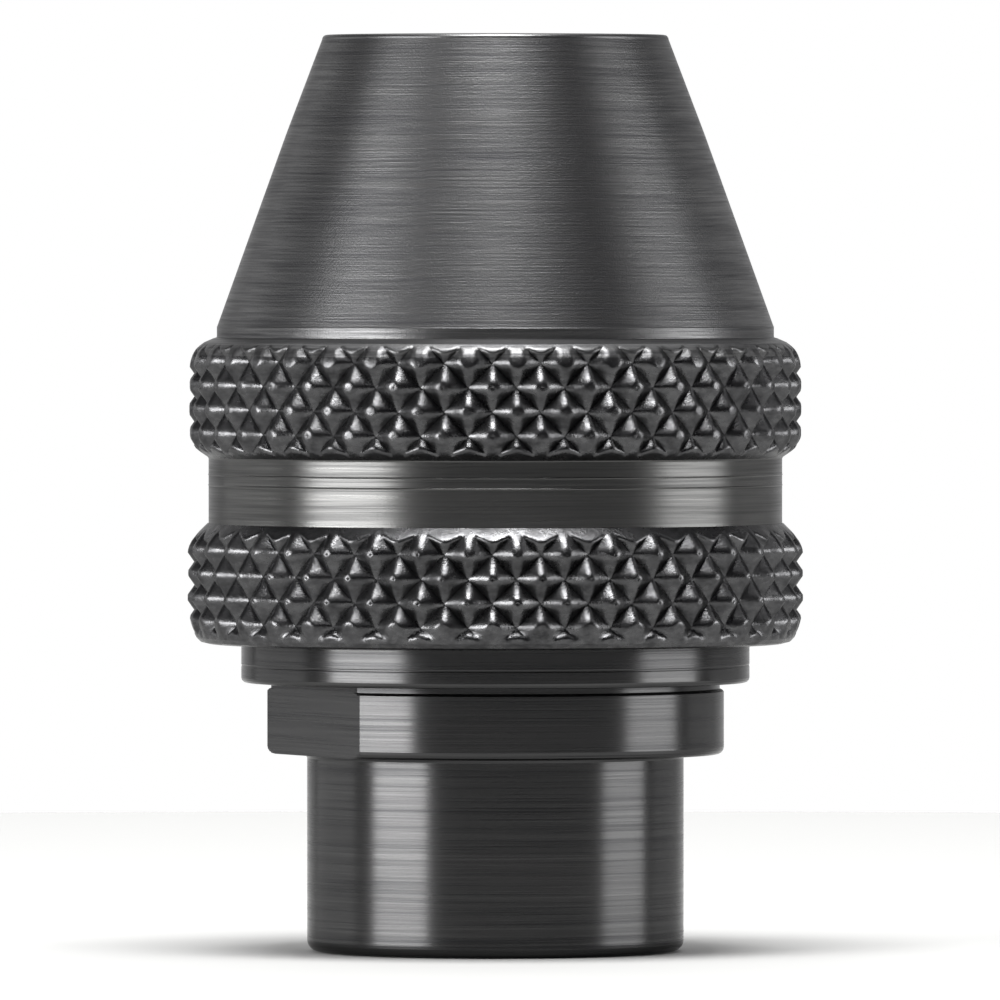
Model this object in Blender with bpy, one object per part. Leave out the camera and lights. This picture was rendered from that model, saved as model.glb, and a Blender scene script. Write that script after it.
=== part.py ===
"""Keyless three-jaw drill chuck: turned hub, screw-on coned sleeve, jaws, springs and thrust race.

Metres, +Z from the hub's rear face to the nose. The chuck is modelled closed.
"""
import math

import bmesh
import bpy

MM = 0.001

# Overall sizes
SLEEVE_R = 10.0 * MM
CHUCK_HEIGHT = 29.76 * MM

# Sleeve outside, below its largest radius
BAND_DROP = 0.68 * MM
SHOULDER_DROP = 0.97 * MM
LOW_RING_RISE = 1.84 * MM
HIGH_RING_RISE = 7.96 * MM
NOSE_R = 5.63 * MM

# Hub, from the rear up
HUB_R = 6.12 * MM
HUB_EDGE = 0.35 * MM
COLLAR_BOTTOM = 6.40 * MM
COLLAR_R = 7.44 * MM
COLLAR_FLATS = 13.0 * MM
FLANGE_BOTTOM = 8.73 * MM
FLANGE_TOP = 11.0 * MM
FLANGE_STEP = 0.24 * MM
SKIRT_LAP = 1.0 * MM
UNDERCUT = 0.22 * MM
SPINDLE_MAJOR_R = 4.0 * MM
SPINDLE_PITCH = 0.75 * MM
SPINDLE_DEPTH = 8.5 * MM
SPINDLE_RELIEF = 1.8 * MM
THROUGH_R = 1.9 * MM

# Screw between hub and sleeve, and what it does to the jaws
LEAD = 1.0 * MM
THREAD_WALL = 0.76 * MM
THREAD_DEPTH = 0.54 * MM
THREAD_LENGTH = 2.35 * MM
TRAVEL = 3.3 * MM
CONE_LEDGE = 0.07 * MM
CONE_RISE = 0.15 * MM
MOUTH_R = 3.06 * MM
JAW_COUNT = 3
MIN_SHANK_R = 0.40 * MM

# Stop ring in the sleeve's skirt
RING_REST = 0.15 * MM
RING_HEIGHT = 0.65 * MM
RING_WIDTH = 0.95 * MM
RING_BORE_GAP = 0.09 * MM
NECK_DROP = 0.30 * MM

# Thrust race
BALL_COUNT = 12
BALL_R = 0.5 * MM
BALL_CIRCLE_R = 4.9 * MM
RACE_HEIGHT = 0.5 * MM
RACE_WIDTH = 2.9 * MM
GROOVE_DEPTH = 0.15 * MM
CAGE_GAP = 0.17 * MM
CAGE_WIDTH = 1.9 * MM

# Guide plate, jaws and jaw springs
PLATE_MARGIN = 0.20 * MM
POCKET_GAP = 0.15 * MM
POCKET_DEPTH = 2.05 * MM
PLATE_HEIGHT = 1.15 * MM
TONGUE_WIDTH = 2.0 * MM
TONGUE_DEPTH = 0.8 * MM
TONGUE_IN = 2.5 * MM
TONGUE_OUT = 4.9 * MM
JAW_RECESS = 0.46 * MM
SPRING_R = 0.68 * MM
SPRING_WIRE_R = 0.12 * MM
SPRING_TURNS = 5
SPRING_POCKET = 1.4 * MM
SPRING_OUT = 4.0 * MM
SPRING_RISE = 2.0 * MM

# Knurl: pyramids between crossed 45 degree grooves
KNURL_TEETH = 39
KNURL_DEPTH = 0.42 * MM
KNURL_ROWS = 4

# Running clearances
SLIDE_GAP = 0.05 * MM
THREAD_GAP = 0.08 * MM
STACK_GAP = 0.05 * MM
SKIRT_GAP = 0.07 * MM

# Derived radii, from the race outwards
PLATE_R = BALL_CIRCLE_R + RACE_WIDTH / 2 + PLATE_MARGIN
POCKET_R = PLATE_R + POCKET_GAP
THREAD_ROOT_R = POCKET_R + THREAD_WALL
SLEEVE_MINOR_R = THREAD_ROOT_R + THREAD_GAP
RING_R = THREAD_ROOT_R + RING_BORE_GAP + RING_WIDTH
NECK_R = RING_R - RING_WIDTH - NECK_DROP
FLANGE_R = RING_R - FLANGE_STEP
SKIRT_R = FLANGE_R + SKIRT_GAP

# Derived heights, from the flange up
SLEEVE_BOTTOM = FLANGE_TOP - SKIRT_LAP
RING_Z = FLANGE_TOP + RING_REST
NECK_TOP = RING_Z + RING_HEIGHT + TRAVEL + STACK_GAP
HUB_TOP = NECK_TOP + THREAD_LENGTH
POCKET_FLOOR = HUB_TOP - POCKET_DEPTH
RACE_Z = POCKET_FLOOR + STACK_GAP
BALL_Z = RACE_Z + RACE_HEIGHT - GROOVE_DEPTH + STACK_GAP + BALL_R
FRONT_RACE_Z = 2 * BALL_Z - RACE_Z - RACE_HEIGHT
CAGE_HEIGHT = FRONT_RACE_Z - RACE_Z - RACE_HEIGHT - 2 * CAGE_GAP
PLATE_Z = FRONT_RACE_Z + RACE_HEIGHT + STACK_GAP
JAW_BOTTOM = PLATE_Z + PLATE_HEIGHT + STACK_GAP
SPRING_Z = JAW_BOTTOM + SPRING_RISE

# The cone, and how far the jaws move on it
CONE_START = HUB_TOP + CONE_RISE
SLOPE = (SLEEVE_MINOR_R - CONE_LEDGE - MOUTH_R) / (CHUCK_HEIGHT - CONE_START)
JAW_TRAVEL = TRAVEL * SLOPE
JAW_TIP = CHUCK_HEIGHT - JAW_RECESS
JAW_BODY_R = SLEEVE_MINOR_R - JAW_TRAVEL - THREAD_GAP
KNURL_STEP = math.pi * SLEEVE_R / KNURL_TEETH
NOSE_BREAK = 0.15 * MM


def clear_scene():
    for obj in list(bpy.data.objects):
        bpy.data.objects.remove(obj, do_unlink=True)


def metal(name, colour, roughness, metallic=1.0):
    material = bpy.data.materials.new(name)
    material.use_nodes = True
    shader = material.node_tree.nodes["Principled BSDF"]
    shader.inputs["Base Color"].default_value = (*colour, 1.0)
    shader.inputs["Roughness"].default_value = roughness
    shader.inputs["Metallic"].default_value = metallic
    return material


def finish(obj, material, smooth=30.0):
    obj.data.materials.clear()
    obj.data.materials.append(material)
    obj.data.shade_smooth()
    obj.data.set_sharp_from_angle(angle=math.radians(smooth))
    return obj


def new_object(name, mesh_source):
    mesh = bpy.data.meshes.new(name)
    bmesh.ops.remove_doubles(mesh_source, verts=mesh_source.verts, dist=2e-7)
    bmesh.ops.recalc_face_normals(mesh_source, faces=mesh_source.faces)
    mesh_source.to_mesh(mesh)
    mesh_source.free()
    obj = bpy.data.objects.new(name, mesh)
    bpy.context.scene.collection.objects.link(obj)
    return obj


def cutter(obj):
    obj.hide_render = True
    obj.display_type = "WIRE"
    return obj


def boolean(obj, tool, operation="DIFFERENCE"):
    modifier = obj.modifiers.new(f"{operation.lower()}_{tool.name}", "BOOLEAN")
    modifier.operation = operation
    modifier.solver = "EXACT"
    modifier.object = cutter(tool)


def thread(bottom, top, base, height, pitch, end, downward=False):
    """A right-hand helical ridge on a turned wall. end is the ridge's height, 0 to 1, where it runs out."""
    corners = (-0.07, 0.07, 0.5)
    turns = math.ceil((top - bottom) / pitch) + 2
    run_out = 0.5 * pitch

    def ridge(z, turn):
        phase = ((z / pitch - turn + 0.5) % 1.0) - 0.5
        value = max(0.0, 1.0 - max(0.0, abs(phase) - 0.07) / 0.43)
        share = max(0.0, min(1.0, (z - bottom) / run_out, (top - z) / run_out))
        return base + height * (end + (value - end) * share)

    def rows(turn):
        first = math.floor(bottom / pitch) - 1
        for k in range(first, first + turns + 1):
            for phase in corners:
                z = min(top, max(bottom, (k + phase + turn) * pitch))
                yield ridge(z, turn), z

    def column(turn):
        listed = list(rows(turn))
        return listed[::-1] if downward else listed

    return column


def lathe(name, outline, columns):
    """Turns a closed outline of points and threads into a solid. A point is (r, z), or (r, z, row) in a knurl."""
    bm = bmesh.new()
    grid = []
    for j in range(columns + 1):
        turn = j / columns
        angle = 2 * math.pi * turn
        listed = []
        for item in outline:
            if callable(item):
                listed += item(turn)
                continue
            r, z, tooth = (*item, None)[:3]
            if tooth is not None:
                r -= KNURL_DEPTH * ((tooth + j) % 2)
            listed.append((r, z))
        grid.append([
            bm.verts.new((r * math.cos(angle), r * math.sin(angle), z)) for r, z in listed
        ])
    count = len(grid[0])
    tooth_of = {}
    row = 0
    for item in outline:
        if callable(item):
            row += len(item(0.0))
            continue
        if len(item) == 3:
            tooth_of[row] = item[2]
        row += 1
    for j in range(columns):
        left, right = grid[j], grid[j + 1]
        for i in range(count):
            k = (i + 1) % count
            corners = (left[i], right[i], right[k], left[k])
            if i in tooth_of or k in tooth_of:
                odd = (tooth_of[i] + j) % 2 if i in tooth_of else (tooth_of[k] + j + 1) % 2
                if odd:
                    bm.faces.new((corners[0], corners[1], corners[2]))
                    bm.faces.new((corners[0], corners[2], corners[3]))
                else:
                    bm.faces.new((corners[0], corners[1], corners[3]))
                    bm.faces.new((corners[1], corners[2], corners[3]))
            else:
                bm.faces.new(corners)
    return new_object(name, bm)


def prism(name, points, bottom, top):
    bm = bmesh.new()
    low = [bm.verts.new((x, y, bottom)) for x, y in points]
    high = [bm.verts.new((x, y, top)) for x, y in points]
    bm.faces.new(low[::-1])
    bm.faces.new(high)
    for i in range(len(points)):
        k = (i + 1) % len(points)
        bm.faces.new((low[i], low[k], high[k], high[i]))
    return new_object(name, bm)


def rod(name, radius, start, end, sides=16):
    """A plain cylinder between two points in the XY plane, or along Z."""
    bm = bmesh.new()
    span = [b - a for a, b in zip(start, end)]
    length = math.sqrt(sum(s * s for s in span))
    along = [s / length for s in span]
    side = (0.0, 0.0, 1.0) if abs(along[2]) < 0.5 else (1.0, 0.0, 0.0)
    other = (
        along[1] * side[2] - along[2] * side[1],
        along[2] * side[0] - along[0] * side[2],
        along[0] * side[1] - along[1] * side[0],
    )
    rings = []
    for centre in (start, end):
        rings.append([
            bm.verts.new([
                c + radius * (math.cos(t) * s + math.sin(t) * o)
                for c, s, o in zip(centre, side, other)
            ])
            for t in (2 * math.pi * (i + 0.3) / sides for i in range(sides))
        ])
    bm.faces.new(rings[0])
    bm.faces.new(rings[1][::-1])
    for i in range(sides):
        k = (i + 1) % sides
        bm.faces.new((rings[0][i], rings[0][k], rings[1][k], rings[1][i]))
    return new_object(name, bm)


def ring_outline(inner, outer, bottom, top, edge=0.0):
    if not edge:
        return [(inner, bottom), (outer, bottom), (outer, top), (inner, top)]
    return [
        (inner, bottom + edge), (inner + edge, bottom), (outer - edge, bottom), (outer, bottom + edge),
        (outer, top - edge), (outer - edge, top), (inner + edge, top), (inner, top - edge),
    ]


def build_hub(material):
    """Hub: one turned bar with a spindle thread behind, wrench collar, flange, neck and screw thread."""
    spindle_minor = SPINDLE_MAJOR_R - 0.54 * SPINDLE_PITCH
    outline = [
        (SPINDLE_MAJOR_R + 0.15 * MM, 0.0),
        (HUB_R - HUB_EDGE, 0.0),
        (HUB_R - 0.3 * HUB_EDGE, 0.3 * HUB_EDGE),
        (HUB_R, HUB_EDGE),
        (HUB_R, COLLAR_BOTTOM),
        (COLLAR_R - 0.25 * MM, COLLAR_BOTTOM),
        (COLLAR_R, COLLAR_BOTTOM + 0.25 * MM),
        (COLLAR_R, FLANGE_BOTTOM - UNDERCUT),
        (COLLAR_R - 0.12 * MM, FLANGE_BOTTOM - UNDERCUT / 2),
        (COLLAR_R - 0.12 * MM, FLANGE_BOTTOM),
        (FLANGE_R - 0.2 * MM, FLANGE_BOTTOM),
        (FLANGE_R, FLANGE_BOTTOM + 0.2 * MM),
        (FLANGE_R, FLANGE_TOP - 0.15 * MM),
        (FLANGE_R - 0.15 * MM, FLANGE_TOP),
        (NECK_R, FLANGE_TOP),
        (NECK_R, NECK_TOP),
        thread(NECK_TOP, HUB_TOP, THREAD_ROOT_R, THREAD_DEPTH, LEAD, 0.0),
        (POCKET_R, HUB_TOP),
        (POCKET_R, POCKET_FLOOR),
        (THROUGH_R, POCKET_FLOOR),
        (THROUGH_R, SPINDLE_DEPTH + 0.7 * MM),
        (SPINDLE_MAJOR_R + 0.05 * MM, SPINDLE_DEPTH),
        (SPINDLE_MAJOR_R + 0.05 * MM, SPINDLE_DEPTH - SPINDLE_RELIEF),
        thread(0.15 * MM, SPINDLE_DEPTH - SPINDLE_RELIEF - 0.05 * MM, SPINDLE_MAJOR_R,
               spindle_minor - SPINDLE_MAJOR_R, SPINDLE_PITCH, 0.0, downward=True),
    ]
    hub = lathe("hub", outline, 40)
    half = COLLAR_FLATS / 2
    for side in (-1, 1):
        block = prism(f"flat_tool_{side + 2}", [
            (side * half, -COLLAR_R), (side * 2 * half, -COLLAR_R),
            (side * 2 * half, COLLAR_R), (side * half, COLLAR_R),
        ][::side], COLLAR_BOTTOM - 0.1 * MM, FLANGE_BOTTOM - 0.02 * MM)
        boolean(hub, block)
    return finish(hub, material)


def knurl_band(middle):
    """Staggered rows of pyramids, one row per half pitch, centred on one height."""
    for row in range(KNURL_ROWS):
        yield SLEEVE_R, middle + (row - (KNURL_ROWS - 1) / 2) * KNURL_STEP * 0.98, row


def build_sleeve(material):
    """Sleeve: one turned shell with two knurled rings, a long inner cone and a screw thread."""
    groove_r = RING_R + 0.1 * MM
    groove_bottom = RING_Z - STACK_GAP
    groove_top = RING_Z + RING_HEIGHT + STACK_GAP
    thread_bottom = groove_top + 0.2 * MM
    band_r = SLEEVE_R - BAND_DROP
    shoulder_r = SLEEVE_R - SHOULDER_DROP
    outline = [
        (SKIRT_R + 0.1 * MM, SLEEVE_BOTTOM),
        (SLEEVE_R - 0.62 * MM, SLEEVE_BOTTOM),
        (SLEEVE_R - 0.40 * MM, SLEEVE_BOTTOM + 0.10 * MM),
        (SLEEVE_R - 0.17 * MM, SLEEVE_BOTTOM + 0.34 * MM),
        *knurl_band(SLEEVE_BOTTOM + LOW_RING_RISE),
        (SLEEVE_R - 0.08 * MM, SLEEVE_BOTTOM + 3.42 * MM),
        (band_r + 0.05 * MM, SLEEVE_BOTTOM + 3.93 * MM),
        (band_r, SLEEVE_BOTTOM + 3.97 * MM),
        (band_r, SLEEVE_BOTTOM + 6.05 * MM),
        (SLEEVE_R - 0.12 * MM, SLEEVE_BOTTOM + 6.53 * MM),
        *knurl_band(SLEEVE_BOTTOM + HIGH_RING_RISE),
        (SLEEVE_R - 0.36 * MM, SLEEVE_BOTTOM + 9.66 * MM),
        (SLEEVE_R - 0.84 * MM, SLEEVE_BOTTOM + 9.92 * MM),
        (shoulder_r + 0.02 * MM, SLEEVE_BOTTOM + 9.94 * MM),
        (shoulder_r, SLEEVE_BOTTOM + 10.32 * MM),
        (NOSE_R, CHUCK_HEIGHT - NOSE_BREAK),
        (NOSE_R - NOSE_BREAK, CHUCK_HEIGHT),
        (MOUTH_R + 0.1 * MM, CHUCK_HEIGHT),
        (MOUTH_R, CHUCK_HEIGHT - 0.02 * MM),
        (SLEEVE_MINOR_R - CONE_LEDGE, CONE_START),
        (SLEEVE_MINOR_R + THREAD_DEPTH, CONE_START),
        thread(thread_bottom, CONE_START - 0.05 * MM, SLEEVE_MINOR_R, THREAD_DEPTH, LEAD, 1.0,
               downward=True),
        (SLEEVE_MINOR_R + THREAD_DEPTH, groove_top),
        (groove_r, groove_top),
        (groove_r, groove_bottom),
        (SKIRT_R, groove_bottom),
        (SKIRT_R, SLEEVE_BOTTOM + 0.1 * MM),
    ]
    return finish(lathe("sleeve", outline, 2 * KNURL_TEETH), material)


def build_stop_ring(material):
    """Stop ring: a sprung C of steel in the skirt's groove, with its gap on +Y."""
    ring = lathe("stop_ring", ring_outline(RING_R - RING_WIDTH, RING_R, RING_Z, RING_Z + RING_HEIGHT), 40)
    gap = prism("stop_ring_gap", [
        (-0.9 * MM, 5 * MM), (0.9 * MM, 5 * MM), (0.9 * MM, 10 * MM), (-0.9 * MM, 10 * MM),
    ], RING_Z - MM, RING_Z + RING_HEIGHT + MM)
    boolean(ring, gap)
    return finish(ring, material)


def build_race(name, bottom, groove_above, material):
    """Race: a flat hardened washer with a rolled ball groove on one face."""
    inner = BALL_CIRCLE_R - RACE_WIDTH / 2
    outer = BALL_CIRCLE_R + RACE_WIDTH / 2
    top = bottom + RACE_HEIGHT
    groove_r = BALL_R + 0.06 * MM
    half = math.sqrt(groove_r ** 2 - (groove_r - GROOVE_DEPTH) ** 2)
    groove = []
    for step in range(4):
        x = half * (1 - step * 2 / 3)
        drop = math.sqrt(groove_r ** 2 - x ** 2) - (groove_r - GROOVE_DEPTH)
        groove.append((BALL_CIRCLE_R + x, top - drop if groove_above else bottom + drop))
    if groove_above:
        outline = [(inner, bottom), (outer, bottom), (outer, top), *groove, (inner, top)]
    else:
        outline = [(inner, bottom), *groove[::-1], (outer, bottom), (outer, top), (inner, top)]
    return finish(lathe(name, outline, 36), material)


def build_cage(material):
    """Cage: a thin brass ring with one round pocket for each ball."""
    inner = BALL_CIRCLE_R - CAGE_WIDTH / 2
    outer = BALL_CIRCLE_R + CAGE_WIDTH / 2
    cage = lathe("ball_cage", ring_outline(inner, outer, BALL_Z - CAGE_HEIGHT / 2, BALL_Z + CAGE_HEIGHT / 2), 48)
    for n in range(BALL_COUNT):
        angle = 2 * math.pi * n / BALL_COUNT
        x, y = BALL_CIRCLE_R * math.cos(angle), BALL_CIRCLE_R * math.sin(angle)
        pocket = rod(f"cage_tool_{n + 1}", BALL_R + 0.05 * MM, (x, y, BALL_Z - MM), (x, y, BALL_Z + MM), 12)
        boolean(cage, pocket)
    return finish(cage, material)


def build_ball(n, material):
    angle = 2 * math.pi * n / BALL_COUNT
    bm = bmesh.new()
    bmesh.ops.create_icosphere(bm, subdivisions=2, radius=BALL_R)
    ball = new_object(f"ball_{n + 1}", bm)
    ball.location = (BALL_CIRCLE_R * math.cos(angle), BALL_CIRCLE_R * math.sin(angle), BALL_Z)
    return finish(ball, material, 60.0)


def build_guide_plate(material):
    """Guide plate: a washer on the front race, with three radial slots that keep the jaws apart."""
    plate = lathe("jaw_guide", ring_outline(THROUGH_R, PLATE_R, PLATE_Z, PLATE_Z + PLATE_HEIGHT, 0.1 * MM), 36)
    half = TONGUE_WIDTH / 2 + SLIDE_GAP
    slot = [
        (TONGUE_IN - 0.1 * MM, -half), (TONGUE_OUT + JAW_TRAVEL + 0.1 * MM, -half),
        (TONGUE_OUT + JAW_TRAVEL + 0.1 * MM, half), (TONGUE_IN - 0.1 * MM, half),
    ]
    for n in range(JAW_COUNT):
        tool = prism(f"guide_tool_{n + 1}", slot, JAW_BOTTOM - TONGUE_DEPTH - 0.1 * MM, JAW_BOTTOM + MM)
        tool.rotation_euler = (0, 0, 2 * math.pi * n / JAW_COUNT)
        boolean(plate, tool)
    return finish(plate, material)


def build_jaw(n, material):
    """Jaw: a third of a coned slug with a tongue below, a narrow gripping face and two spring pockets."""
    turn = 2 * math.pi * n / JAW_COUNT
    tip_r = MOUTH_R + (CHUCK_HEIGHT - JAW_TIP) * SLOPE - SLIDE_GAP
    shoulder = CHUCK_HEIGHT - (JAW_BODY_R + SLIDE_GAP - MOUTH_R) / SLOPE
    edge = 0.2 * MM
    bm = bmesh.new()
    half_angle = math.radians(60.0)
    flat = MIN_SHANK_R
    steps = 12
    inset = SLIDE_GAP / math.sin(half_angle)
    rings = []
    for z, radius in (
        (JAW_BOTTOM, JAW_BODY_R - edge), (JAW_BOTTOM + edge, JAW_BODY_R), (shoulder, JAW_BODY_R),
        (JAW_TIP - 0.1 * MM, tip_r + 0.1 * MM * SLOPE), (JAW_TIP, tip_r - 0.15 * MM),
    ):
        # The side faces lie a gap inside planes at 60 degrees, so they meet the arc a little short of it.
        reach = half_angle - math.asin(inset * math.sin(half_angle) / radius)
        points = [(flat, -(flat - inset) * math.tan(half_angle))]
        for i in range(steps + 1):
            angle = reach * (2 * i / steps - 1)
            points.append((radius * math.cos(angle), radius * math.sin(angle)))
        points.append((flat, (flat - inset) * math.tan(half_angle)))
        rings.append([bm.verts.new((x, y, z)) for x, y in points])
    bm.faces.new(rings[0][::-1])
    bm.faces.new(rings[-1])
    for low, high in zip(rings, rings[1:]):
        for i in range(len(low)):
            k = (i + 1) % len(low)
            bm.faces.new((low[i], low[k], high[k], high[i]))
    jaw = new_object(f"jaw_{n + 1}", bm)
    half = TONGUE_WIDTH / 2
    tongue = prism(f"tongue_{n + 1}", [
        (TONGUE_IN, -half), (TONGUE_OUT, -half), (TONGUE_OUT, half), (TONGUE_IN, half),
    ], JAW_BOTTOM - TONGUE_DEPTH, JAW_BOTTOM + 0.3 * MM)
    boolean(jaw, tongue, "UNION")
    for side in (-1, 1):
        mouth = (
            SPRING_OUT * math.cos(half_angle), side * SPRING_OUT * math.sin(half_angle), SPRING_Z,
        )
        into = (math.sin(half_angle), -side * math.cos(half_angle), 0.0)
        deep = tuple(m + SPRING_POCKET * d for m, d in zip(mouth, into))
        out = tuple(m - MM * d for m, d in zip(mouth, into))
        tool = rod(f"pocket_tool_{n + 1}_{side + 2}", SPRING_R + 0.1 * MM, out, deep)
        tool.rotation_euler = (0, 0, turn)
        boolean(jaw, tool)
    jaw.rotation_euler = (0, 0, turn)
    tongue.rotation_euler = (0, 0, turn)
    return finish(jaw, material)


def build_spring(n, material):
    """Spring: a coil lying between two jaws, its ends in their pockets."""
    direction = math.radians(60.0) + 2 * math.pi * n / JAW_COUNT
    length = 2 * (SPRING_POCKET - STACK_GAP)
    radius = SPRING_R - SPRING_WIRE_R
    per_turn = 9
    wire_sides = 5
    count = SPRING_TURNS * per_turn
    run = length - 2 * SPRING_WIRE_R
    bm = bmesh.new()
    rings = []
    for i in range(count + 1):
        t = i / count
        angle = 2 * math.pi * SPRING_TURNS * t
        ring = []
        for s in range(wire_sides):
            a = 2 * math.pi * s / wire_sides
            r = radius + SPRING_WIRE_R * math.cos(a)
            y = run * (t - 0.5) + SPRING_WIRE_R * math.sin(a)
            ring.append(bm.verts.new((r * math.cos(angle), y, r * math.sin(angle))))
        rings.append(ring)
    bm.faces.new(rings[0])
    bm.faces.new(rings[-1][::-1])
    for low, high in zip(rings, rings[1:]):
        for s in range(wire_sides):
            k = (s + 1) % wire_sides
            bm.faces.new((low[s], high[s], high[k], low[k]))
    spring = new_object(f"jaw_spring_{n + 1}", bm)
    spring.location = (SPRING_OUT * math.cos(direction), SPRING_OUT * math.sin(direction), SPRING_Z)
    spring.rotation_euler = (0, 0, direction)
    return finish(spring, material, 60.0)


clear_scene()
build_hub(metal("hub_black_oxide", (0.055, 0.055, 0.06), 0.34))
build_sleeve(metal("sleeve_black_oxide", (0.06, 0.06, 0.062), 0.38))
build_stop_ring(metal("ring_spring_steel", (0.10, 0.10, 0.11), 0.35))
build_race("rear_race", RACE_Z, True, metal("rear_race_steel", (0.42, 0.42, 0.44), 0.22))
build_race("front_race", FRONT_RACE_Z, False, metal("front_race_steel", (0.42, 0.42, 0.44), 0.22))
build_cage(metal("cage_brass", (0.56, 0.40, 0.17), 0.35))
for number in range(BALL_COUNT):
    build_ball(number, metal(f"ball_{number + 1}_chrome_steel", (0.62, 0.62, 0.64), 0.10))
build_guide_plate(metal("guide_steel", (0.20, 0.20, 0.21), 0.35))
for number in range(JAW_COUNT):
    build_jaw(number, metal(f"jaw_{number + 1}_tool_steel", (0.26, 0.26, 0.27), 0.30))
for number in range(JAW_COUNT):
    build_spring(number, metal(f"spring_{number + 1}_wire", (0.45, 0.45, 0.46), 0.25))
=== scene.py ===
import math

import bmesh
import bpy
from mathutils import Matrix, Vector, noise


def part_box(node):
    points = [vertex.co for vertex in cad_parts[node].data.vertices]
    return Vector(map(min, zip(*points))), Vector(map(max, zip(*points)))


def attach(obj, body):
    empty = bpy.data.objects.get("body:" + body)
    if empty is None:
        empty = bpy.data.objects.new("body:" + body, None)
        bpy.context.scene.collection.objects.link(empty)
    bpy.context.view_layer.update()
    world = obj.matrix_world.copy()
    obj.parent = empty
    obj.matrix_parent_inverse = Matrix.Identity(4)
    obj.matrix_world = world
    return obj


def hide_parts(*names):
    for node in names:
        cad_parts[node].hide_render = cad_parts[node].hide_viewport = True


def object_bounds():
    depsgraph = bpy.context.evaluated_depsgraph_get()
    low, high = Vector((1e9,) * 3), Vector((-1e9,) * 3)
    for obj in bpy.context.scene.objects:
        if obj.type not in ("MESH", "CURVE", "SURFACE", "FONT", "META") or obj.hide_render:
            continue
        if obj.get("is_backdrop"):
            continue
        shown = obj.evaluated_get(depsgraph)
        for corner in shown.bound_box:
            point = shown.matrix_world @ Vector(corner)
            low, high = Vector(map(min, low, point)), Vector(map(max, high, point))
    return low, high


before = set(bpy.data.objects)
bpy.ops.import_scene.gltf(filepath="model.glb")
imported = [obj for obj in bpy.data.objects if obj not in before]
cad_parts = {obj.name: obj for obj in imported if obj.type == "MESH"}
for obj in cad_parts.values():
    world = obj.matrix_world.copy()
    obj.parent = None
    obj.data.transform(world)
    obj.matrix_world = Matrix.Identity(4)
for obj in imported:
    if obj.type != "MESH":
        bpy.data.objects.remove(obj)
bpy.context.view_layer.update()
MM = 0.001

# --- Hub ---
# One bar of free-cutting steel, turned, threaded for the tool's spindle and milled with two
# wrench flats, then blackened in a hot oxide bath and oiled. Its front screws into the sleeve.
HUB_R = 6.12
COLLAR_R = 7.44
COLLAR_Z = (6.40, 8.51)
FLAT_HALF = 6.5
FLANGE_R = 8.26
FLANGE_Z = (8.73, 11.0)
SCRIBE_Z = 9.29
SCRIBE_DEPTH = 0.012
NECK_R = 7.25
NECK_TOP = 15.15
HUB_TOP = 17.5
POCKET_R = 6.70
POCKET_FLOOR = 15.45
BORE_R = 1.90
BORE_START = 9.2
THREAD_ROOT_R = 7.46
THREAD_DEPTH = 0.54
THREAD_CREST = 0.07  # half the crest's width, as a share of the pitch
THREAD_FLANK = 0.43  # one flank's width, as a share of the pitch
SLEEVE_LEAD = 1.0
SPINDLE_R = 4.0
SPINDLE_PITCH = 0.75
SPINDLE_END = 6.65
DRILLED_TO = 8.5
HUB_COLUMNS = 288
FLAT_CORNER = 0.004  # radians between the columns that keep a flat's corner crisp
WELD = 2e-7  # metres; points closer than this become one


def linear(text):
    """Linear RGBA from an sRGB hex colour."""
    channels = [int(text[i:i + 2], 16) / 255 for i in (1, 3, 5)]
    return [c / 12.92 if c <= 0.04045 else ((c + 0.055) / 1.055) ** 2.4 for c in channels] + [1.0]


def corner(r0, z0, r1, z1, steps, bulge):
    """Points on a quarter ellipse from one end of an edge to the other. A bulge of 1 leaves the
    first end level, and -1 leaves it upright."""
    points = []
    for i in range(steps + 1):
        t = math.pi / 2 * i / steps
        a, b = (math.sin(t), 1 - math.cos(t)) if bulge > 0 else (1 - math.cos(t), math.sin(t))
        points.append((r0 + (r1 - r0) * a, z0 + (z1 - z0) * b))
    return points


def helix(bottom, top, base, height, pitch, end, downward=False, steps=3):
    """Rows of a right-hand thread. end is the ridge's height, 0 to 1, where it runs out."""
    falls = [THREAD_CREST + THREAD_FLANK * k / steps for k in range(1, steps)]
    rises = [1 - THREAD_CREST - THREAD_FLANK * (steps - k) / steps for k in range(1, steps)]
    phases = [-THREAD_CREST, THREAD_CREST] + falls + [0.5] + rises
    turns = math.ceil((top - bottom) / pitch) + 2
    first = math.floor(bottom / pitch) - 1

    def row(offset):
        def place(angle):
            turn = angle / (2 * math.pi)
            z = min(top, max(bottom, (offset + turn) * pitch))
            phase = ((z / pitch - turn + 0.5) % 1.0) - 0.5
            value = max(0.0, 1.0 - max(0.0, abs(phase) - THREAD_CREST) / THREAD_FLANK)
            share = max(0.0, min(1.0, 2 * (z - bottom) / pitch, 2 * (top - z) / pitch))
            return base + height * (end + (value - end) * share), z
        return place

    rows = [row(k + phase) for k in range(first, first + turns + 1) for phase in phases]
    return rows[::-1] if downward else rows


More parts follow.
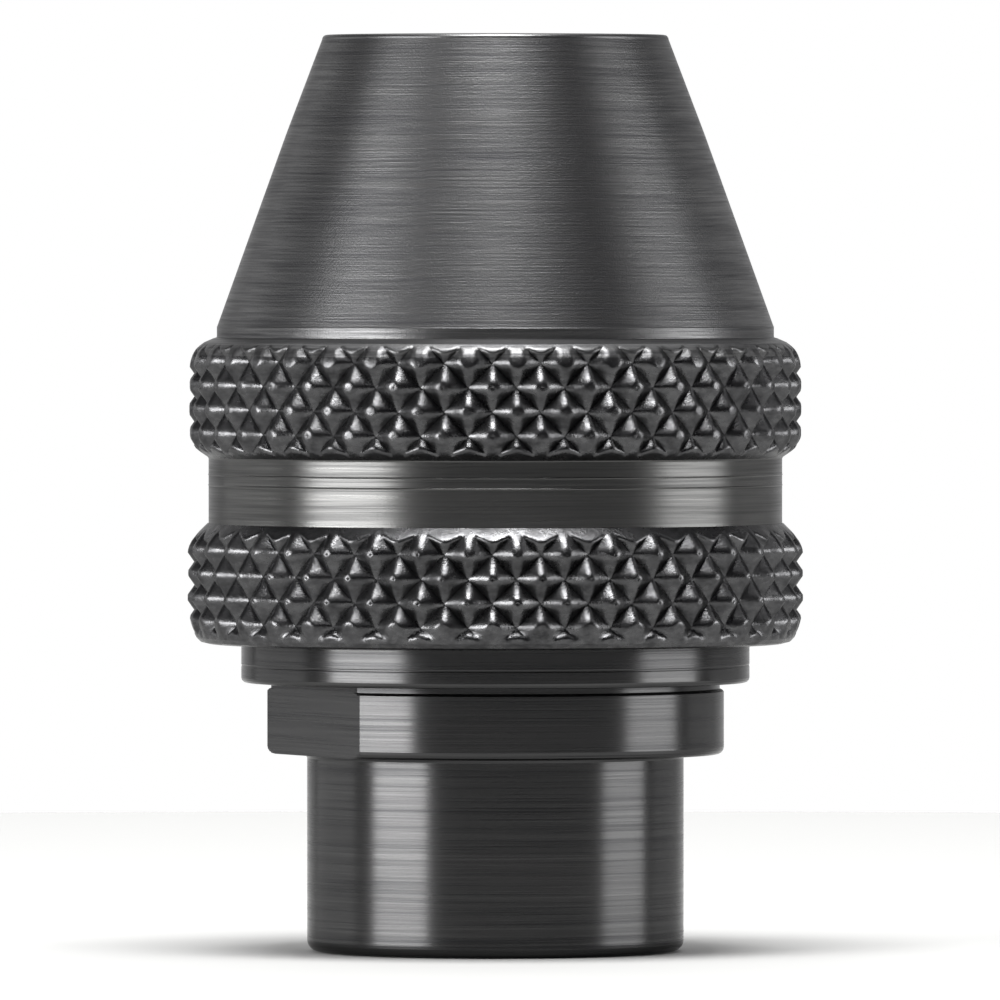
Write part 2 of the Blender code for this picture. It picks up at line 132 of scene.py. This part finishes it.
def turned(name, rows, angles, finishes=None, start=0.0, fold=None, crease=3.0, worn=()):
    """A solid turned about Z from rows of (r, z) in mm, each fixed or a function of the angle.
    Its UV map is in millimetres, round the piece and along its outline. fold says, for a column
    and a row, which diagonal a cell is folded along: 1, -1, or 0 for neither. Columns blend
    smoothly round the piece, every turned edge stays crisp, and the ridges between rows in worn
    are rounded."""
    bm = bmesh.new()
    uv = bm.loops.layers.uv.new("mm")
    angles = list(angles) + [angles[0] + 2 * math.pi]
    places = [[row(a) if callable(row) else row for row in rows] for a in angles]
    along = [0.0]
    for (r0, z0), (r1, z1) in zip(places[0], places[0][1:] + places[0][:1]):
        along.append(along[-1] + math.hypot(r1 - r0, z1 - z0))
    grid = []
    soft = set()
    for a, column in zip(angles, places):
        grid.append([])
        for i, (r, z) in enumerate(column):
            at = a + start
            grid[-1].append(bm.verts.new((r * math.cos(at) * MM, r * math.sin(at) * MM, z * MM)))
            if i in worn:
                soft.add(grid[-1][-1])
    outer = max(r for r, z in places[0])
    count = len(rows)
    for j in range(len(angles) - 1):
        for i in range(count):
            k = (i + 1) % count
            cell = [(0, 0), (1, 0), (1, 1), (0, 1)]
            folded = {0: [cell], 1: [cell[:3], cell[2:] + cell[:1]], -1: [cell[:2] + cell[3:], cell[1:]]}
            for part in folded[fold(j, i) if fold else 0]:
                face = bm.faces.new([grid[j + side][k if row else i] for side, row in part])
                for loop, (side, row) in zip(face.loops, part):
                    loop[uv].uv = (angles[j + side] * outer, along[i + row])
                if finishes:
                    face.material_index = finishes[i]
    bmesh.ops.remove_doubles(bm, verts=bm.verts, dist=WELD)
    bmesh.ops.recalc_face_normals(bm, faces=bm.faces)
    return placed(name, bm, crease, soft)


def placed(name, bm, crease=32.0, soft=()):
    """Makes the object, smooth but for edges sharper than crease degrees. Ridges between soft
    points are smooth however sharp."""
    for face in bm.faces:
        face.smooth = True
    for edge in bm.edges:
        rounded = edge.is_convex and edge.verts[0] in soft and edge.verts[1] in soft
        edge.smooth = rounded or edge.calc_face_angle(0.0) < math.radians(crease)
    mesh = bpy.data.meshes.new(name)
    bm.to_mesh(mesh)
    bm.free()
    piece = bpy.data.objects.new(name, mesh)
    bpy.context.scene.collection.objects.link(piece)
    return piece


def add_node(tree, kind, settings=(), inputs=(), links=()):
    """Adds one node, sets its properties and sockets, and links (socket, other node, its output)."""
    node = tree.nodes.new(kind)
    for key, value in dict(settings).items():
        setattr(node, key, value)
    for key, value in dict(inputs).items():
        node.inputs[key].default_value = value
    for socket, other, output in links:
        tree.links.new(other.outputs[output], node.inputs[socket])
    return node


GRIT_MM = 0.0625
BROAD_RINGS = 0.22  # broad rings to each feed mark
BROAD_SHARE = 0.45  # their depth against the feed marks'
FILM_EDGE = 0.62  # how much of a grazing reflection the oxide film lets through


def oxide_steel(name, dark, light, rough, gloss_change, across, feed, cut, streak, grit):
    """Black oxide on turned steel: a dark magnetite skin that keeps the tool's feed marks.
    The eye sees a smoky metal with fine rings, glossier on their crests. feed is the rings'
    spacing and cut their depth, both in mm, across is how far they spread the gloss, streak is
    1 / the length in mm over which a ring fades, and grit the share of the bath's grain."""
    material = bpy.data.materials.new(name)
    material.use_nodes = True
    tree = material.node_tree
    shader = tree.nodes["Principled BSDF"]
    shader.inputs["Metallic"].default_value = 1.0
    shader.inputs["Anisotropic"].default_value = across
    shader.inputs["Anisotropic Rotation"].default_value = 0.25
    # The oxide film soaks up light that strikes it at a slant.
    shader.inputs["Specular Tint"].default_value = (FILM_EDGE, FILM_EDGE, FILM_EDGE, 1.0)
    # Round the piece the pattern runs through space, so it has no seam. Along it, it is in mm.
    round_it = add_node(tree, "ShaderNodeTexCoord")
    ring_at = add_node(tree, "ShaderNodeSeparateXYZ", links=[("Vector", round_it, "Object")])
    outline_mm = add_node(tree, "ShaderNodeUVMap", {"uv_map": "mm"})
    along = add_node(tree, "ShaderNodeSeparateXYZ", links=[("Vector", outline_mm, 0)])
    where = add_node(tree, "ShaderNodeCombineXYZ",
                     links=[("X", ring_at, "X"), ("Y", ring_at, "Y"), ("Z", along, "Y")])
    # The feed marks, one every feed mm, and broader rings where the tool chattered.
    rings_at = add_node(tree, "ShaderNodeMapping",
                        inputs={"Scale": (1000 * streak, 1000 * streak, 1 / feed)},
                        links=[("Vector", where, 0)])
    rings = add_node(tree, "ShaderNodeTexNoise", {"noise_dimensions": "3D"},
                     {"Scale": 1.0, "Detail": 3.0, "Roughness": 0.65}, [("Vector", rings_at, 0)])
    wide_at = add_node(tree, "ShaderNodeMapping",
                       inputs={"Scale": (400 * streak, 400 * streak, BROAD_RINGS / feed)},
                       links=[("Vector", where, 0)])
    wide = add_node(tree, "ShaderNodeTexNoise", {"noise_dimensions": "3D"},
                    {"Scale": 1.0, "Detail": 2.0}, [("Vector", wide_at, 0)])
    # The bath's matte grain, drawn a good deal coarser than its real microns so that it shows.
    grain = add_node(tree, "ShaderNodeTexNoise", {"noise_dimensions": "3D"},
                     {"Scale": 1000 / GRIT_MM, "Detail": 3.0, "Roughness": 0.6},
                     [("Vector", round_it, "Object")])
    mixed = add_node(tree, "ShaderNodeMath", {"operation": "MULTIPLY_ADD"}, {1: BROAD_SHARE},
                     [(0, wide, "Fac"), (2, rings, "Fac")])
    graded = add_node(tree, "ShaderNodeMath", {"operation": "MULTIPLY_ADD"}, {1: grit},
                      [(0, grain, "Fac"), (2, mixed, 0)])
    height = add_node(tree, "ShaderNodeBump", inputs={"Strength": 1.0, "Distance": cut * MM},
                      links=[("Height", graded, 0)])
    tint = add_node(tree, "ShaderNodeValToRGB", links=[("Fac", mixed, 0)])
    tint.color_ramp.elements[0].position = 0.45
    tint.color_ramp.elements[0].color = linear(dark)
    tint.color_ramp.elements[1].position = 0.95
    tint.color_ramp.elements[1].color = linear(light)
    gloss = add_node(tree, "ShaderNodeMapRange",
                     inputs={"From Min": 0.5, "From Max": 0.95,
                             "To Min": rough + gloss_change, "To Max": rough - gloss_change},
                     links=[("Value", mixed, 0)])
    tree.links.new(tint.outputs["Color"], shader.inputs["Base Color"])
    tree.links.new(gloss.outputs["Result"], shader.inputs["Roughness"])
    tree.links.new(height.outputs["Normal"], shader.inputs["Normal"])
    return material


def milled(r, z):
    """A row of the collar, cut back by the two wrench flats. The flats reach past the collar
    well before the cosine's floor of 0.2, which only keeps the division sound."""
    return lambda angle: (min(r, FLAT_HALF / max(abs(math.cos(angle)), 0.2)), z)


flat_edge = math.acos(FLAT_HALF / COLLAR_R)
hub_angles = [2 * math.pi * j / HUB_COLUMNS for j in range(HUB_COLUMNS)]
for edge in (flat_edge, math.pi - flat_edge, math.pi + flat_edge, 2 * math.pi - flat_edge):
    hub_angles += [edge - FLAT_CORNER, edge, edge + FLAT_CORNER]
hub_angles = sorted(hub_angles)
spindle_depth = 0.54 * SPINDLE_PITCH
hub_rows = [(SPINDLE_R + 0.18, 0.0), (HUB_R - 0.62, 0.0)]
hub_rows += corner(HUB_R - 0.36, 0.0, HUB_R, 0.36, 6, 1)
hub_rows += [(HUB_R, z) for z in (1.2, 3.2, 5.2, COLLAR_Z[0] - 0.12)]
hub_rows += [(HUB_R + 0.04, COLLAR_Z[0] - 0.03), (HUB_R + 0.12, COLLAR_Z[0])]
collar_corner = corner(COLLAR_R - 0.25, COLLAR_Z[0], COLLAR_R, COLLAR_Z[0] + 0.25, 4, 1)
hub_rows += [milled(r, z) for r, z in collar_corner]
hub_rows += [milled(COLLAR_R, COLLAR_Z[0] + 0.8), milled(COLLAR_R, COLLAR_Z[1] - 0.06),
             milled(COLLAR_R - 0.06, COLLAR_Z[1])]
hub_rows += [milled(COLLAR_R - 0.14, COLLAR_Z[1] + 0.03), milled(COLLAR_R - 0.14, FLANGE_Z[0])]
hub_rows += [(FLANGE_R - 0.24, FLANGE_Z[0])]
hub_rows += corner(FLANGE_R - 0.16, FLANGE_Z[0], FLANGE_R, FLANGE_Z[0] + 0.16, 3, 1)
hub_rows += [(FLANGE_R, SCRIBE_Z - 0.05), (FLANGE_R - SCRIBE_DEPTH, SCRIBE_Z - 0.02),
             (FLANGE_R - SCRIBE_DEPTH, SCRIBE_Z + 0.02), (FLANGE_R, SCRIBE_Z + 0.05)]
hub_rows += [(FLANGE_R, 10.2), (FLANGE_R, FLANGE_Z[1] - 0.15), (FLANGE_R - 0.15, FLANGE_Z[1])]
hub_rows += [(NECK_R + 0.2, FLANGE_Z[1]), (NECK_R, FLANGE_Z[1] + 0.2), (NECK_R, NECK_TOP)]
hub_rows += helix(NECK_TOP, HUB_TOP, THREAD_ROOT_R, THREAD_DEPTH, SLEEVE_LEAD, 0.0)
hub_rows += [(POCKET_R, HUB_TOP), (POCKET_R, POCKET_FLOOR), (BORE_R + 0.05, POCKET_FLOOR)]
hub_rows += [(BORE_R, POCKET_FLOOR - 0.05), (BORE_R, BORE_START)]
hub_rows += [(SPINDLE_R + 0.05, DRILLED_TO), (SPINDLE_R + 0.05, SPINDLE_END + 0.05)]
hub_rows += helix(0.18, SPINDLE_END, SPINDLE_R, -spindle_depth, SPINDLE_PITCH, 0.0, downward=True)
hub = turned("hub_turned", hub_rows, hub_angles)
hub.data.materials.append(oxide_steel(
    "black_oxide_turned_hub", "#353536", "#4a4a4a", rough=0.25, gloss_change=0.05, across=0.7,
    feed=0.07, cut=0.0022, streak=0.10, grit=0.35))
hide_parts("hub")
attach(hub, "hub")


# --- Thrust race ---
# Two ground washers of bearing steel with a rolled groove, twelve hard balls and a stamped brass
# cage. It lies in the hub's front pocket and lets the jaws turn while they push back hard.
BALLS = 12
BALL_R = 0.5
BALL_CIRCLE_R = 4.9
BALL_Z = 16.4


def ground_metal(name, colour, rough, scratch_mm, depth):
    """Bare metal finished on a stone or in a press: an even, slightly clouded colour, with
    scratches scratch_mm wide that give it a soft, drawn-out shine. depth is in mm."""
    material = bpy.data.materials.new(name)
    material.use_nodes = True
    tree = material.node_tree
    shader = tree.nodes["Principled BSDF"]
    shader.inputs["Metallic"].default_value = 1.0
    where = add_node(tree, "ShaderNodeTexCoord")
    at = add_node(tree, "ShaderNodeMapping",
                  inputs={"Scale": (300.0, 1000.0 / scratch_mm, 1000.0 / scratch_mm)},
                  links=[("Vector", where, "Object")])
    scratches = add_node(tree, "ShaderNodeTexNoise", inputs={"Scale": 1.0, "Detail": 3.0},
                         links=[("Vector", at, 0)])
    cloud = add_node(tree, "ShaderNodeTexNoise", inputs={"Scale": 400.0, "Detail": 2.0},
                     links=[("Vector", where, "Object")])
    tint = add_node(tree, "ShaderNodeValToRGB", links=[("Fac", cloud, "Fac")])
    base = linear(colour)
    tint.color_ramp.elements[0].position = 0.3
    tint.color_ramp.elements[0].color = [c * 0.82 for c in base[:3]] + [1.0]
    tint.color_ramp.elements[1].position = 0.7
    tint.color_ramp.elements[1].color = base
    gloss = add_node(tree, "ShaderNodeMapRange", inputs={"To Min": rough - 0.06, "To Max": rough + 0.08},
                     links=[("Value", scratches, "Fac")])
    height = add_node(tree, "ShaderNodeBump", inputs={"Strength": 1.0, "Distance": depth * MM},
                      links=[("Height", scratches, "Fac")])
    tree.links.new(tint.outputs["Color"], shader.inputs["Base Color"])
    tree.links.new(gloss.outputs["Result"], shader.inputs["Roughness"])
    tree.links.new(height.outputs["Normal"], shader.inputs["Normal"])
    return material


def refinish(node, material):
    """Gives a CAD node its finish."""
    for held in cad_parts[node].material_slots:
        held.material = material


race_steel = ground_metal("bearing_steel_ground", "#b9babd", rough=0.22, scratch_mm=0.05, depth=0.0004)
for node in ("rear_race", "front_race"):
    refinish(node, race_steel)
refinish("ball_cage", ground_metal("brass_stamped_cage", "#c8a463", rough=0.32, scratch_mm=0.09,
                                   depth=0.0008))
ball_steel = ground_metal("bearing_steel_lapped_balls", "#cfd0d2", rough=0.10, scratch_mm=0.03,
                          depth=0.0001)
for n in range(BALLS):
    angle = 2 * math.pi * n / BALLS
    bm = bmesh.new()
    bmesh.ops.create_uvsphere(bm, u_segments=32, v_segments=20, radius=BALL_R * MM)
    ball = placed(f"race_ball_{n + 1}", bm)
    ball.location = (BALL_CIRCLE_R * math.cos(angle) * MM, BALL_CIRCLE_R * math.sin(angle) * MM,
                     BALL_Z * MM)
    ball.data.materials.append(ball_steel)
    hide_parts(f"ball_{n + 1}")
    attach(ball, "cage")

# --- Jaw guide ---
# A washer of mild steel milled with three radial slots. The jaws' tongues slide in them, so the
# jaws stay a third of a turn apart.
refinish("jaw_guide", ground_metal("mild_steel_milled_guide", "#7e7e80", rough=0.34, scratch_mm=0.08,
                                   depth=0.0010))

# --- Jaw springs ---
# Three small coils of music wire between the jaws' side faces. They push the jaws apart, out
# along the sleeve's cone, when it is unscrewed.
COIL_R = 0.56
WIRE_R = 0.12
COIL_TURNS = 5
COIL_LENGTH = 2.46
COIL_OUT = 4.0
COIL_STEPS = 24
WIRE_SIDES = 10
spring_wire = ground_metal("music_wire_drawn", "#a9aaac", rough=0.24, scratch_mm=0.04, depth=0.0005)
for n in range(3):
    low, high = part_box(f"jaw_spring_{n + 1}")
    centre_z = (low[2] + high[2]) / 2
    direction = math.radians(60 + 120 * n)
    bm = bmesh.new()
    rings = []
    for i in range(COIL_TURNS * COIL_STEPS + 1):
        turn = 2 * math.pi * i / COIL_STEPS
        y = COIL_LENGTH * (i / (COIL_TURNS * COIL_STEPS) - 0.5)
        rings.append([])
        for s in range(WIRE_SIDES):
            a = 2 * math.pi * s / WIRE_SIDES
            r = COIL_R + WIRE_R * math.cos(a)
            rings[-1].append(bm.verts.new((
                r * math.cos(turn) * MM, (y + WIRE_R * math.sin(a)) * MM, r * math.sin(turn) * MM)))
    bm.faces.new(rings[0])
    bm.faces.new(rings[-1][::-1])
    for ring, after in zip(rings, rings[1:]):
        for s in range(WIRE_SIDES):
            t = (s + 1) % WIRE_SIDES
            bm.faces.new((ring[s], after[s], after[t], ring[t]))
    bmesh.ops.recalc_face_normals(bm, faces=bm.faces)
    coil = placed(f"jaw_coil_{n + 1}", bm, 60.0)
    coil.location = (COIL_OUT * math.cos(direction) * MM, COIL_OUT * math.sin(direction) * MM,
                     centre_z)
    coil.rotation_euler = (0, 0, direction)
    coil.data.materials.append(spring_wire)
    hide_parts(f"jaw_spring_{n + 1}")
    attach(coil, f"spring_{n + 1}")

# --- Jaws ---
# Three slugs of hardened tool steel, ground together as one cone and then slit apart. Their
# narrow inner faces grip the shank, and the flat tips show in the nose.
jaw_steel = ground_metal("tool_steel_ground_jaws", "#8d8d90", rough=0.26, scratch_mm=0.06, depth=0.0009)
for n in range(3):
    refinish(f"jaw_{n + 1}", jaw_steel)

# --- Stop ring ---
# A C of tempered spring steel, snapped into the groove in the sleeve's skirt. It meets the
# underside of the hub's thread before the sleeve can come off.
refinish("stop_ring", ground_metal("spring_steel_tempered", "#6f6d6c", rough=0.30, scratch_mm=0.06,
                                   depth=0.0008))

# --- Sleeve ---
# One turned shell of blackened steel: a long cone outside and in, two rings of diamond knurl
# rolled with a pair of 45 degree wheels, and a thread in its mouth that screws on the hub.
SLEEVE_R = 10.0
TEETH = 39
PER_TOOTH = 16
KNURL_PERIOD = 1.56
KNURL_DEPTH = 0.54
KNURL_PROUD = 0.02
RIDGE_ROUND = 0.45  # how far down its flanks a ridge is rounded, 1 being the whole flank
CRATER_RIM = 0.80  # how far up the full diamond the metal filled the rolls
CRATER_SLOPE = 1.6
RUN_OUT = 0.3
KNURL_START = math.radians(-115.5)  # where one upright line of diamonds stands
START_TOOTH = 20  # the mesh starts this many teeth on, about half-way round
LOW_APEX_Z = 12.27
HIGH_APEX_Z = 18.39
LOW_KNURL_Z = (10.28, 13.82)
HIGH_KNURL_Z = (16.08, 19.82)
LATTICE_GAP = 0.02  # the least height between the knurl's rows and the corners' own
BAND_R = 9.32
TOOL_MARKS = (15.15, 15.49)
TOOL_MARK_RISE = 0.015
CONE_BOTTOM = (9.03, 20.32)
NOSE_R = 5.63
NOSE_Z = 29.76
MOUTH_R = 3.06
INNER_CONE_Z = 17.65
INNER_CONE_ANGLE = math.radians(20)
SLEEVE_THREAD_Z = (12.05, 17.60)
SLEEVE_THREAD_R = THREAD_ROOT_R + 0.08
GROOVE_R = 8.60
GROOVE_Z = (11.10, 11.85)
SKIRT_R = 8.33


def outline_r(points, z):
    """The radius of an outline of (r, z) points, rising in z, at one height."""
    for (r0, z0), (r1, z1) in zip(points, points[1:]):
        if z <= z1:
            return r0 + (r1 - r0) * max(0.0, z - z0) / (z1 - z0)
    return points[-1][0]


def furrows(u, v):
    """How far a spot lies from the nearest groove of each family, 0 in the groove and 1 midway."""
    return [1 - 2 * abs(f - round(f)) for f in (u + v, u - v)]


def knurl_row(points, z, apex_z, ends):
    """A row through the diamonds: the turned outline with two families of grooves rolled in,
    which run out towards the ends. The rolls don't quite fill, so each diamond ends in a small
    crater."""
    r = outline_r(points, z)
    share = max(0.0, min(1.0, (z - ends[0]) / RUN_OUT, (ends[1] - z) / RUN_OUT))
    v = (z - apex_z) / KNURL_PERIOD

    def place(angle):
        u = angle * TEETH / (2 * math.pi)
        falling, rising = furrows(u, v)
        flank = min(falling, rising)
        rounding = max(0.0, RIDGE_ROUND - abs(falling - rising)) ** 2 / (4 * RIDGE_ROUND)
        # The rounding fades out where two grooves cross, so their floors stay sharp.
        rise = flank - rounding * min(1.0, 3 * flank)
        # Each diamond has its own wear. The factors only spread the noise's samples.
        wear = noise.noise((2.3 * round(2 * u), 3.1 * round(2 * v), apex_z))
        if rise > CRATER_RIM + 0.01:
            rise = CRATER_RIM - (CRATER_SLOPE + wear) * (rise - CRATER_RIM)
        cut = SLEEVE_R + KNURL_PROUD - KNURL_DEPTH * (CRATER_RIM - rise)
        return r + (min(r, cut) - r) * share, z
    return place


def knurled_ring(points, apex_z, ends):
    """Rows up one ring: its turned corners, and between them steps in time with the diamonds,
    which lattice keeps a count of."""
    step = KNURL_PERIOD / PER_TOOTH
    first = math.ceil((ends[0] - apex_z) / step)
    last = math.floor((ends[1] - apex_z) / step)
    rows = [(r, z) for r, z in points if z < apex_z + first * step - LATTICE_GAP]
    for k in range(first, last + 1):
        lattice[len(sleeve_rows) + len(rows)] = k
        rows.append(knurl_row(points, apex_z + k * step, apex_z, ends))
    return rows + [(r, z) for r, z in points if z > apex_z + last * step + LATTICE_GAP]


def knurl_fold(column, row):
    """Folds a cell in line with the groove it is nearest to."""
    if row not in lattice:
        return 0
    u = START_TOOTH + (column + 0.5) / PER_TOOTH
    falling, rising = furrows(u, (lattice[row] + 0.5) / PER_TOOTH)
    return -1 if falling < rising else 1


low_ring = [(9.34, 10.0), (9.58, 10.06), (9.72, 10.2), (9.86, 10.5), (9.98, 10.95), (10.0, 11.2),
            (10.0, 12.98), (9.97, 13.12), (9.87, 13.34), (9.66, 13.60), (9.36, 13.90)]
high_ring = [(9.34, 16.05), (9.70, 16.30), (9.88, 16.52), (9.94, 16.7), (9.95, 18.9), (9.90, 19.2),
             (9.82, 19.42), (9.70, 19.60), (9.46, 19.78), (9.16, 19.91)]
lattice = {}
sleeve_rows = [(SKIRT_R + 0.12, 10.0), (9.2, 10.0)]
sleeve_rows += knurled_ring(low_ring, LOW_APEX_Z, LOW_KNURL_Z)
band_first = len(sleeve_rows)
sleeve_rows += [(BAND_R, 13.90), (BAND_R, 14.02), (BAND_R, 14.6)]
for z in TOOL_MARKS:
    sleeve_rows += [(BAND_R, z - 0.03), (BAND_R + TOOL_MARK_RISE, z), (BAND_R, z + 0.03)]
sleeve_rows += [(BAND_R, 16.0)]
band_last = len(sleeve_rows)
sleeve_rows += knurled_ring(high_ring, HIGH_APEX_Z, HIGH_KNURL_Z)
cone_first = len(sleeve_rows)
sleeve_rows += [(9.06, 19.94), (9.05, 19.98), (9.05, 20.28)]
sleeve_rows += [CONE_BOTTOM, (8.0, 23.19), (6.8, 26.53), (NOSE_R + 0.004, NOSE_Z - 0.16)]
sleeve_rows += corner(NOSE_R, NOSE_Z - 0.15, NOSE_R - 0.15, NOSE_Z, 4, -1)
nose_last = len(sleeve_rows)
sleeve_rows += [(4.4, NOSE_Z), (MOUTH_R + 0.14, NOSE_Z), (MOUTH_R, NOSE_Z - 0.12)]
sleeve_rows += [(MOUTH_R + (NOSE_Z - INNER_CONE_Z) * math.tan(INNER_CONE_ANGLE), INNER_CONE_Z),
                (SLEEVE_THREAD_R + THREAD_DEPTH, INNER_CONE_Z)]


def from_start(row):
    """A thread row for the sleeve, whose first column isn't at angle 0."""
    return lambda angle: row(angle + KNURL_START)


sleeve_thread = helix(*SLEEVE_THREAD_Z, SLEEVE_THREAD_R, THREAD_DEPTH, SLEEVE_LEAD, 1.0,
                      downward=True, steps=2)
sleeve_rows += [from_start(row) for row in sleeve_thread]
sleeve_rows += [(SLEEVE_THREAD_R + THREAD_DEPTH, GROOVE_Z[1]), (GROOVE_R, GROOVE_Z[1]),
                (GROOVE_R, GROOVE_Z[0]), (SKIRT_R, GROOVE_Z[0]), (SKIRT_R, 10.12)]
# The finishes by row: rolled knurl, turned band and inside, and turned cone, which takes in the
# upper ring's rounded top.
KNURLED, TURNED, CONED = 0, 1, 2
TOP_CORNER_ROWS = 7
finishes = []
for i in range(len(sleeve_rows)):
    if band_first - 1 <= i < band_last:
        finishes.append(TURNED)
    elif cone_first - TOP_CORNER_ROWS <= i < nose_last:
        finishes.append(CONED)
    elif 2 <= i < cone_first:
        finishes.append(KNURLED)
    else:
        finishes.append(TURNED)
column_angle = 2 * math.pi / (TEETH * PER_TOOTH)
sleeve_angles = [column_angle * (j + START_TOOTH * PER_TOOTH) for j in range(TEETH * PER_TOOTH)]
sleeve = turned("sleeve_turned", sleeve_rows, sleeve_angles, finishes, KNURL_START, knurl_fold,
                worn=lattice)
sleeve.data.materials.append(oxide_steel(
    "black_oxide_knurled", "#363637", "#5e5e5f", rough=0.29, gloss_change=0.05, across=0.0,
    feed=0.35, cut=0.008, streak=2.0, grit=1.0))
sleeve.data.materials.append(oxide_steel(
    "black_oxide_turned_band", "#3f3f3f", "#5f5f5e", rough=0.32, gloss_change=0.06, across=0.65,
    feed=0.08, cut=0.0045, streak=0.12, grit=0.45))
sleeve.data.materials.append(oxide_steel(
    "black_oxide_turned_cone", "#38383a", "#646464", rough=0.36, gloss_change=0.06, across=0.4,
    feed=0.065, cut=0.0085, streak=0.26, grit=0.75))
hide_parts("sleeve")
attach(sleeve, "sleeve")

# --- Floor ---
# A round studio board of pale matte card. The chuck stands on its hub in the middle, a hair
# above it.
BOARD_R = 0.13
BOARD_Z = -0.00002
board = bpy.data.materials.new("studio_board_matte")
board.use_nodes = True
board.node_tree.nodes["Principled BSDF"].inputs["Base Color"].default_value = linear("#a9a9a8")
board.node_tree.nodes["Principled BSDF"].inputs["Roughness"].default_value = 0.9
bpy.ops.mesh.primitive_circle_add(vertices=256, radius=BOARD_R, fill_type="NGON",
                                  location=(0, 0, BOARD_Z))
floor = bpy.context.object
floor.name = "studio_floor"
floor.data.materials.append(board)
floor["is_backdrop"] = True

# --- Light ---
# Two soft boxes at the sides and one above, in a dim room, so the oxide mirrors two upright
# bands. Weaker upper boxes are for the cone, which mirrors what is 40 degrees up. The rest fill
# in from behind, and the room's own backdrop is white to the camera.
VIEW_AZIMUTH = -25.0
MIDDLE_Z = 0.015


def toward(azimuth, elevation, distance):
    """A point that far from the chuck's middle, azimuth counted from the camera's side."""
    a, e = math.radians(VIEW_AZIMUTH + azimuth), math.radians(elevation)
    return (distance * math.sin(a) * math.cos(e), -distance * math.cos(a) * math.cos(e),
            MIDDLE_Z + distance * math.sin(e))


def soft_box(name, azimuth, elevation, distance, width, height, watts):
    """A soft box that faces the chuck's middle: angles in degrees, lengths in metres."""
    light = bpy.data.lights.new(name, "AREA")
    light.shape = "RECTANGLE"
    light.size, light.size_y = width, height
    light.energy = watts
    lamp = bpy.data.objects.new(name, light)
    lamp.visible_camera = False
    lamp.location = toward(azimuth, elevation, distance)
    bpy.context.scene.collection.objects.link(lamp)
    aim = bpy.data.objects.new(name + "_aim", None)
    aim.location = (0, 0, MIDDLE_Z)
    bpy.context.scene.collection.objects.link(aim)
    track = lamp.constraints.new("TRACK_TO")
    track.target = aim
    track.track_axis, track.up_axis = "TRACK_NEGATIVE_Z", "UP_Y"


soft_box("left_box", -61, 9, 0.5, 0.34, 0.22, 3.2)
soft_box("right_box", 86, 9, 0.5, 0.30, 0.22, 1.4)
soft_box("left_upper_box", -77, 40, 0.5, 0.20, 0.16, 0.05)
soft_box("right_upper_box", 84, 40, 0.5, 0.16, 0.16, 0.12)
soft_box("front_upper_box", 2, 42, 0.5, 0.13, 0.12, 0.10)
soft_box("top_box", 0, 77, 0.5, 0.28, 0.22, 5.2)
soft_box("left_fill", -118, 9, 0.5, 0.42, 0.22, 0.44)
soft_box("right_fill", 128, 9, 0.5, 0.26, 0.22, 0.17)
soft_box("back_card", 180, 12, 0.6, 0.9, 0.5, 1.0)
soft_box("floor_wash", 180, 60, 0.45, 0.50, 0.30, 1.1)
world = bpy.data.worlds.new("studio")
bpy.context.scene.world = world
world.use_nodes = True
sky = world.node_tree
room = sky.nodes["Background"]
room.inputs["Color"].default_value = linear("#2a282e")
backdrop = add_node(sky, "ShaderNodeBackground", inputs={"Color": (1, 1, 1, 1), "Strength": 1.0})
sight = add_node(sky, "ShaderNodeLightPath")
seen = add_node(sky, "ShaderNodeMixShader",
                links=[(0, sight, "Is Camera Ray"), (1, room, 0), (2, backdrop, 0)])
sky.links.new(seen.outputs[0], sky.nodes["World Output"].inputs["Surface"])

# --- Camera ---
# A long lens, level with the chuck but for a degree, and aimed a little to the right of its
# axis, so the chuck stands just left of the middle.
LENS_MM = 609.2
DISTANCE = 0.55
ELEVATION = 0.95
AIM_SIDE = 0.15
AIM_Z = 14.65
lens = bpy.data.cameras.new("camera")
lens.lens = LENS_MM
lens.clip_start, lens.clip_end = 0.01, 10.0
camera = bpy.data.objects.new("camera", lens)
bpy.context.scene.collection.objects.link(camera)
azimuth, elevation = math.radians(VIEW_AZIMUTH), math.radians(ELEVATION)
back = (math.sin(azimuth) * math.cos(elevation), -math.cos(azimuth) * math.cos(elevation),
        math.sin(elevation))
aim = (AIM_SIDE * MM * math.cos(azimuth), AIM_SIDE * MM * math.sin(azimuth), AIM_Z * MM)
camera.location = tuple(p + DISTANCE * b for p, b in zip(aim, back))
camera.rotation_euler = (math.pi / 2 - elevation, 0, azimuth)
bpy.context.scene.camera = camera
bpy.context.scene.view_settings.view_transform = "Standard"

low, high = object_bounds()
